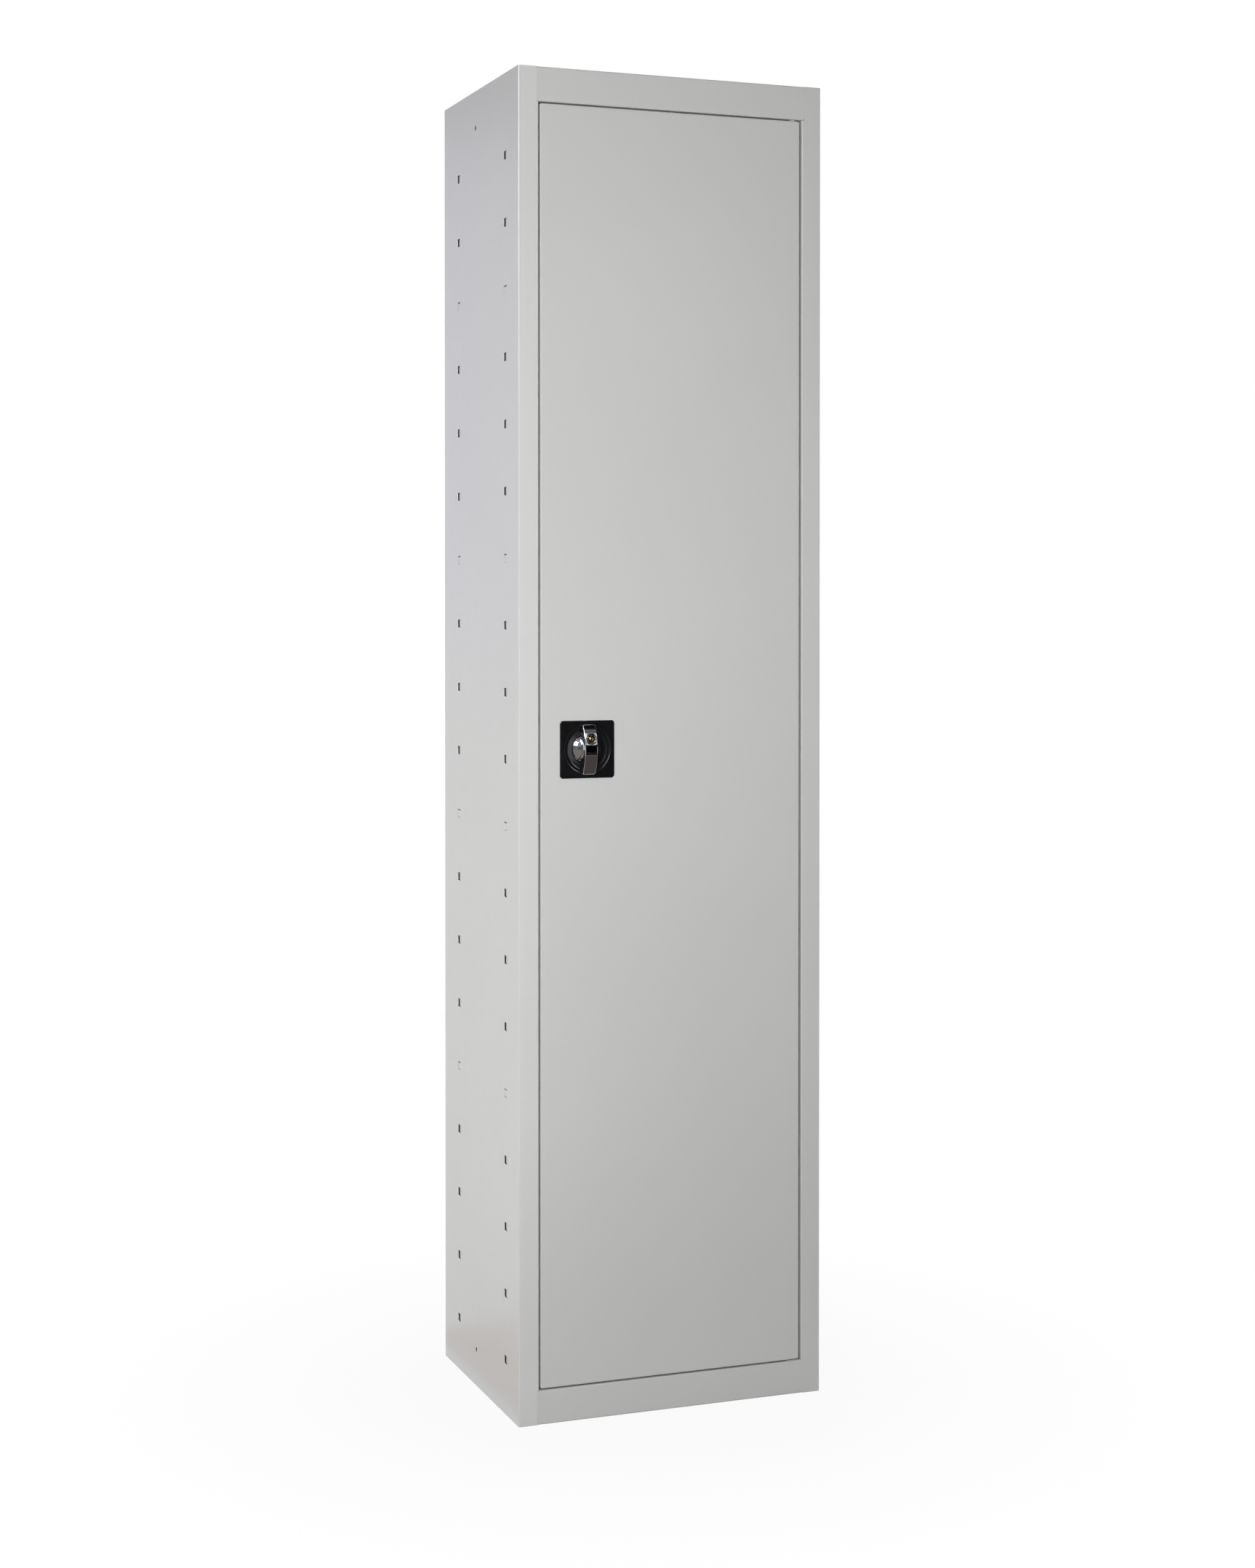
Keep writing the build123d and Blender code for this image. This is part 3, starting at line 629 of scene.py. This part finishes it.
# %% Model the key cylinder's rim
barrel_back = 8.0
barrel_steps = 96
rim_profile = [
    (barrel, 16.9), (8.13, 17.22), (7.95, 17.45), (7.7, 17.57), (7.4, 17.6), (6.4, 17.6), (6.2, 17.5),
    (6.1, 17.3), (6.1, 17.0), (5.55, 17.0), (5.55, 12.0),
]
clear_bench()
bpy.ops.mesh.primitive_circle_add(
    vertices=barrel_steps, radius=barrel * mm, location=(0, 0, barrel_back * mm)
)
key_rim = open_mesh("EDGE")
pull_rings(barrel, barrel_back, rim_profile)
bpy.ops.mesh.select_all(action="SELECT")
bpy.ops.transform.translate(value=(0, key_up * mm, 0))
stand_up(key_rim, "key_rim", "chrome", "handle", "key_cylinder")

# %% [markdown]
# ## Key plug
#
# The plug turns inside the cylinder, so it is a piece of its own. Its face has a shallow groove round a
# small polished dome, which catches a few glints. A sphere could be set into a flat disc, but then the two
# wouldn't be one surface. So the dome is pulled in rings too, this time from a filled circle, which keeps
# its top closed.

# %% Model the key plug
plug_radius = 5.5
plug_back = 6.0
plug_front = 17.3
plug_profile = [
    (plug_radius, 16.9), (5.35, 17.15), (5.1, plug_front), (3.3, plug_front), (3.1, 17.1), (2.95, 17.1),
    (2.8, 17.35), (2.4, 17.6), (1.9, 17.79), (1.3, 17.92), (0.7, 17.98), (0.2, 18.0),
]
clear_bench()
bpy.ops.mesh.primitive_circle_add(
    vertices=barrel_steps, radius=plug_radius * mm, location=(0, 0, plug_back * mm), fill_type="NGON"
)
plug = open_mesh("FACE")
pull_rings(plug_radius, plug_back, plug_profile)
clear_bench()
print("plug faces before the keyway:", len(plug.data.polygons))

# %% [markdown]
# ## Keyway
#
# A narrow slot with round ends splits the dome. It crosses many rings, so it is cut with a slim block and
# not pulled from faces. The block's four upright edges are bevelled almost to half its width, which makes
# its ends round.

# %% Cut the keyway
keyway_width = 1.3
keyway_length = 7.6
keyway_block = 8.0
keyway_rounding = 0.6
keyway_steps = 6
clear_bench()
bpy.ops.mesh.primitive_cube_add(size=1, location=(0, 0, plug_front * mm))
blank = bpy.context.active_object
blank.scale = (keyway_width * mm, keyway_length * mm, keyway_block * mm)
open_mesh("EDGE")
choose("EDGE", lambda edge: abs(edge.verts[0].co.z - edge.verts[1].co.z) > mm)
bpy.ops.mesh.bevel(offset=keyway_rounding * mm, segments=keyway_steps, affect="EDGES")
cut_away(plug, blank, "keyway")
open_mesh("FACE")
bpy.ops.transform.translate(value=(0, key_up * mm, 0))
stand_up(plug, "key_plug_face", "brass", "key", "key_plug")

# %% [markdown]
# ## Painted seams
#
# The two rails butt against the stiles with a hair of a gap. Powder that flows in the oven bridges such a
# gap, so on the real cabinet the seam is a thin soft ridge and not a black line. A line in the coat could
# stand for it, but only a real ridge catches the light. Each bridge is a slim block with its two front
# edges rounded, and the four are joined into one piece that stays with the carcass.

# %% Bridge the seams with powder
seam_middle = 198.8
seam_spans = [(2.2, 44.6), (1804.8, 1847.8)]
ridge_width = 0.9
ridge_depth = 0.5
ridge_proud = 0.15
ridge_rounding = 0.3
ridge_steps = 4
long_edge = 10 * mm
ridge_y = door_face + (ridge_depth / 2 - ridge_proud) * mm
ridges = []
for side in (-1, 1):
    for low, high in seam_spans:
        clear_bench()
        ridge_place = (side * seam_middle * mm, ridge_y, (low + high) / 2 * mm)
        bpy.ops.mesh.primitive_cube_add(size=1, location=ridge_place)
        bpy.context.active_object.scale = (ridge_width * mm, ridge_depth * mm, (high - low) * mm)
        ridges.append(open_mesh("EDGE"))
        choose("EDGE", lambda edge: middle(edge).y < door_face and edge.calc_length() > long_edge)
        bpy.ops.mesh.bevel(offset=ridge_rounding * mm, segments=ridge_steps, affect="EDGES")
pick(*ridges)
bpy.ops.object.join()
bpy.ops.object.shade_smooth_by_angle(angle=radians(smooth_below))
seam_paint = bpy.context.active_object
hand_over(seam_paint, "seam_paint", "powder_coat", "carcass")

# %% [markdown]
# ## Studio: the white surround
#
# The cabinet stands in front of white. A white wall would need a lot of light, which would bleach the
# panels. So the world itself is white, but only to the camera and in reflections. Where it lights the
# panels it is a softer grey, so a grey panel renders about as its grey is written.

# %% Make the world
ambient = 0.22


def camera_mix(tree):
    """1 where a ray comes from the camera, a reflection or glass, and 0 for plain light."""
    path = tree.nodes.new("ShaderNodeLightPath")
    seen = path.outputs["Is Camera Ray"]
    for kind in ("Is Glossy Ray", "Is Transmission Ray"):
        either = tree.nodes.new("ShaderNodeMath")
        either.operation = "MAXIMUM"
        tree.links.new(seen, either.inputs[0])
        tree.links.new(path.outputs[kind], either.inputs[1])
        seen = either.outputs[0]
    return seen


def mix_shaders(tree, share, first, second, output):
    """Sends a mix of two shaders to an output, with share as the part of the second one."""
    blend = tree.nodes.new("ShaderNodeMixShader")
    tree.links.new(share, blend.inputs["Fac"])
    tree.links.new(first.outputs[0], blend.inputs[1])
    tree.links.new(second.outputs[0], blend.inputs[2])
    tree.links.new(blend.outputs[0], tree.nodes[output].inputs["Surface"])


world = bpy.data.worlds.new("white_studio")
bpy.context.scene.world = world
world.use_nodes = True
sky = world.node_tree
white = sky.nodes["Background"]
soft = sky.nodes.new("ShaderNodeBackground")
for background, strength in ((white, 1.0), (soft, ambient)):
    background.inputs["Color"].default_value = (1, 1, 1, 1)
    background.inputs["Strength"].default_value = strength
mix_shaders(sky, camera_mix(sky), soft, white, "World Output")
print("world lights the cabinet at", ambient)

# %% [markdown]
# ## Studio: the floor
#
# The floor is a matt disc just under the cabinet. A plain one would show its horizon, so to the camera it
# is almost white, and a short way from the cabinet it fades to the same white as the world. Near the
# cabinet a small share of the matt paint stays, and that share keeps the shadow.

# %% Lay the floor
floor_radius = 9
floor_steps = 96
floor_level = -0.5 * mm
floor_grey = (0.30, 0.30, 0.295, 1)
white_near = 0.94
white_far = 1.0
fade_start = 0.3
fade_end = 0.8
clear_bench()
bpy.ops.mesh.primitive_circle_add(
    vertices=floor_steps, radius=floor_radius, fill_type="NGON", location=(0, 0, floor_level)
)
floor = bpy.context.active_object
floor.name = "studio_floor"
floor_paint = bpy.data.materials.new("floor_paint")
floor_paint.use_nodes = True
paint = floor_paint.node_tree
paint.nodes.remove(paint.nodes["Principled BSDF"])
matt = paint.nodes.new("ShaderNodeBsdfDiffuse")
matt.inputs["Color"].default_value = floor_grey
glow = paint.nodes.new("ShaderNodeEmission")
glow.inputs["Strength"].default_value = 1.0
where = paint.nodes.new("ShaderNodeTexCoord")
distance = paint.nodes.new("ShaderNodeVectorMath")
distance.operation = "LENGTH"
paint.links.new(where.outputs["Object"], distance.inputs[0])
fade = spread(paint, distance.outputs["Value"], white_near, white_far, fade_start, fade_end)
seen_white = paint.nodes.new("ShaderNodeMath")
seen_white.operation = "MULTIPLY"
paint.links.new(fade, seen_white.inputs[0])
paint.links.new(camera_mix(paint), seen_white.inputs[1])
mix_shaders(paint, seen_white.outputs[0], matt, glow, "Material Output")
floor.data.materials.append(floor_paint)
print("floor fades to white from", fade_start, "to", fade_end, "m")

# %% [markdown]
# ## Lights
#
# One soft light stands in front and to the left, at the height of the door's upper middle, so the door is
# brightest there and falls off to the right, to the top and to the floor. A weak one lifts the foot of
# the left stile, and four more light the two sides, the back and the top, so that no view is dark. A sun
# would be simpler, but it gives hard shadows and an even door. These six light the paint but don't show
# as hot spots in it. Two others do the opposite: they show only as gloss. One draws the bright lines
# along the cabinet's folded edges. The other one falls on the lock plate alone, where it draws the arcs
# in the recess.

# %% Hang the lights


def soft_light(name, place, aim, size, power):
    """A rectangular soft light that looks at a point and doesn't show in reflections."""
    lamp = bpy.data.lights.new(name, "AREA")
    lamp.shape = "RECTANGLE"
    lamp.size, lamp.size_y = size
    lamp.energy = power
    holder = bpy.data.objects.new(name, lamp)
    bpy.context.scene.collection.objects.link(holder)
    holder.location = place
    away = holder.location - Vector(aim)
    holder.rotation_euler = away.to_track_quat("Z", "Y").to_euler()
    holder.visible_camera = False
    holder.visible_glossy = False
    return holder


def gloss_light(name, place, aim, size, power):
    """A soft light that shows only as gloss."""
    holder = soft_light(name, place, aim, size, power)
    holder.visible_diffuse = False
    holder.visible_glossy = True
    return holder


lock_middle = (-0.2, -0.175, 0.92)
soft_light("door_light", place=(-0.72, -2.0, 1.2), aim=(0, -0.175, 1.15), size=(0.8, 0.8), power=32.0)
soft_light("side_light", place=(-2.2, 0.85, 0.8), aim=(-0.225, 0, 0.8), size=(0.9, 0.9), power=22.4)
soft_light("right_light", place=(2.6, 0.4, 1.2), aim=(0.225, 0, 1.0), size=(1.2, 1.6), power=28)
soft_light("back_light", place=(0.5, 2.8, 1.3), aim=(0, 0.175, 1.0), size=(1.2, 1.6), power=40)
soft_light("top_light", place=(0.3, 0.9, 3.9), aim=(0, 0, 1.85), size=(1.0, 1.0), power=34)
soft_light("low_light", place=(-0.52, -0.6, 0.36), aim=(-0.21, -0.175, 0.36), size=(0.25, 0.25), power=0.36)
gloss_light("edge_light", place=(-2.04, -1.19, 2.17), aim=lock_middle, size=(1.3, 0.8), power=55)
arc_light = gloss_light("arc_light", place=(-2.1, -1.05, 2.35), aim=lock_middle, size=(2.8, 1.9), power=400)
lock_only = bpy.data.collections.new("lock_only")
lock_only.objects.link(lock_face)
arc_light.light_linking.receiver_collection = lock_only
print("lights:", [lamp.name for lamp in bpy.data.lights])

# %% [markdown]
# ## Cards for the chrome
#
# Chrome has no colour of its own: it shows the room. Against plain white it would vanish, so a
# photographer stands cards around it. Here a dark card stands level with the lock with a bright one
# beside it, others hang above and to the right, and warm ones lie low in front. Between them the white
# still shows, as the bright patch on the dome. Three cards behind the cabinet and beside its foot give
# the side panel its soft bands: a dim one at the top, a cool one below it and a warm one near the floor.
# The cards show only in reflections: they cast no shadow and light nothing.

# %% Stand the cards
bright = (2.3, 2.3, 2.5)
cool_grey = (0.26, 0.27, 0.31)
dark_grey = (0.02, 0.02, 0.022)
near_black = (0.006, 0.006, 0.007)
cards = [
    ("level_card", (2.48, -4.4, 0.86), (2.02, 0, 0), (0, 0, 0.84), (0.002, 0.002, 0.0025)),
    ("bright_card", (-0.22, -4.4, 0.86), (0.68, 0, 0), (0, 0, 0.84), bright),
    ("bright_floor_card", (-0.22, -3.8, 0.005), (0.68, 0, 0), (0, 0.66, 0), bright),
    ("gap_card", (1.8, -4.4, 2.35), (2.7, 0, 0), (0, 0, 0.55), (0.28, 0.28, 0.29)),
    ("upper_card", (2.0, -2.6, 3.6), (3.0, 0, 0), (0, 0.5, 0), (0.11, 0.108, 0.112)),
    ("top_card", (2.0, -0.8, 3.6), (3.0, 0, 0), (0, 1.3, 0), near_black),
    ("near_floor_card", (2.2, -1.62, 0.004), (2.8, 0, 0), (0, 1.2, 0), (0.070, 0.060, 0.057)),
    ("warm_strip", (2.2, -2.98, 0.004), (2.8, 0, 0), (0, 0.16, 0), (0.15, 0.09, 0.045)),
    ("far_floor_card", (2.2, -3.8, 0.004), (2.8, 0, 0), (0, 0.66, 0), near_black),
    ("left_floor_card", (-4.8, -4.7, 0.004), (4.2, 0, 0), (0, 4.3, 0), (0.21, 0.185, 0.16)),
    ("left_card", (-2.13, -3.64, 2.5), (0.91, -0.525, 0), (0, 0, 1.95), cool_grey),
    ("low_left_card", (-2.12, -3.62, 1.27), (0.91, -0.525, 0), (0, 0, 0.72), (0.09, 0.095, 0.12)),
    ("far_left_card", (-3.6, -2.18, 1.46), (0.525, -0.91, 0), (0, 0, 0.91), (0.14, 0.145, 0.175)),
    ("high_left_card", (-3.0, -1.83, 5.2), (0.8, -1.4, 0), (0.6, 0.35, 1.0), cool_grey),
    ("right_card", (4.6, -2.1, 2.6), (0, 2.3, 0), (0, 0, 1.5), dark_grey),
    ("far_gap_card", (4.2, -3.75, 3.25), (1.8, 0, 0), (0, 0.65, 0.35), dark_grey),
    ("rear_card", (-1.41, 3.29, 3.27), (1.2, 0, 0), (0, 0, 0.85), (0.40, 0.41, 0.46)),
    ("sky_card", (-0.45, 3.29, 1.7), (0.8, 0, 0), (0, 0, 0.75), (1.06, 1.02, 1.34)),
    ("side_floor_card", (-0.57, 0.045, 0.003), (0.33, 0, 0), (0, 0.245, 0), (0.68, 0.56, 0.53)),
]


def stand_card(name, centre, half_width, half_height, tone):
    """A flat card, given by its centre and by the way from there to its two nearest edges."""
    clear_bench()
    bpy.ops.mesh.primitive_plane_add(size=2)
    sheet = bpy.context.active_object
    sheet.name = name
    for vert in sheet.data.vertices:
        vert.co = Vector(centre) + Vector(half_width) * vert.co.x + Vector(half_height) * vert.co.y
    card_paint = bpy.data.materials.new(name)
    card_paint.use_nodes = True
    board = card_paint.node_tree
    board.nodes.remove(board.nodes["Principled BSDF"])
    shine = board.nodes.new("ShaderNodeEmission")
    shine.inputs["Color"].default_value = (*tone, 1)
    shine.inputs["Strength"].default_value = 1.0
    board.links.new(shine.outputs[0], board.nodes["Material Output"].inputs["Surface"])
    sheet.data.materials.append(card_paint)
    sheet.visible_camera = False
    sheet.visible_diffuse = False
    sheet.visible_shadow = False


for name, centre, half_width, half_height, tone in cards:
    stand_card(name, centre, half_width, half_height, tone)
print("cards round the lock:", len(cards))

# %% [markdown]
# ## Camera
#
# The camera stands to the left of the door's middle, a little above half height, and looks almost level.
# It could be tilted down to take in the cabinet's foot, but then the uprights would lean. So the lens is
# shifted instead, as on a view camera, and the uprights stay upright.

# %% Place the camera
lens = bpy.data.cameras.new("photo_lens")
lens.sensor_width = 36
lens.lens = 57.875
lens.shift_y = -0.1015
camera = bpy.data.objects.new("photo_camera", lens)
bpy.context.scene.collection.objects.link(camera)
camera.location = (-1.2961, -3.4228, 1.1348)
camera.rotation_euler = (radians(89.290), 0, radians(-20.727))
bpy.context.scene.camera = camera
bpy.context.scene.view_settings.view_transform = "Standard"
print("camera at", tuple(camera.location))

# %% [markdown]
# ## Clearing the bench
#
# The last call leaves edit mode and deselects everything.

# %% Clear the bench
clear_bench()
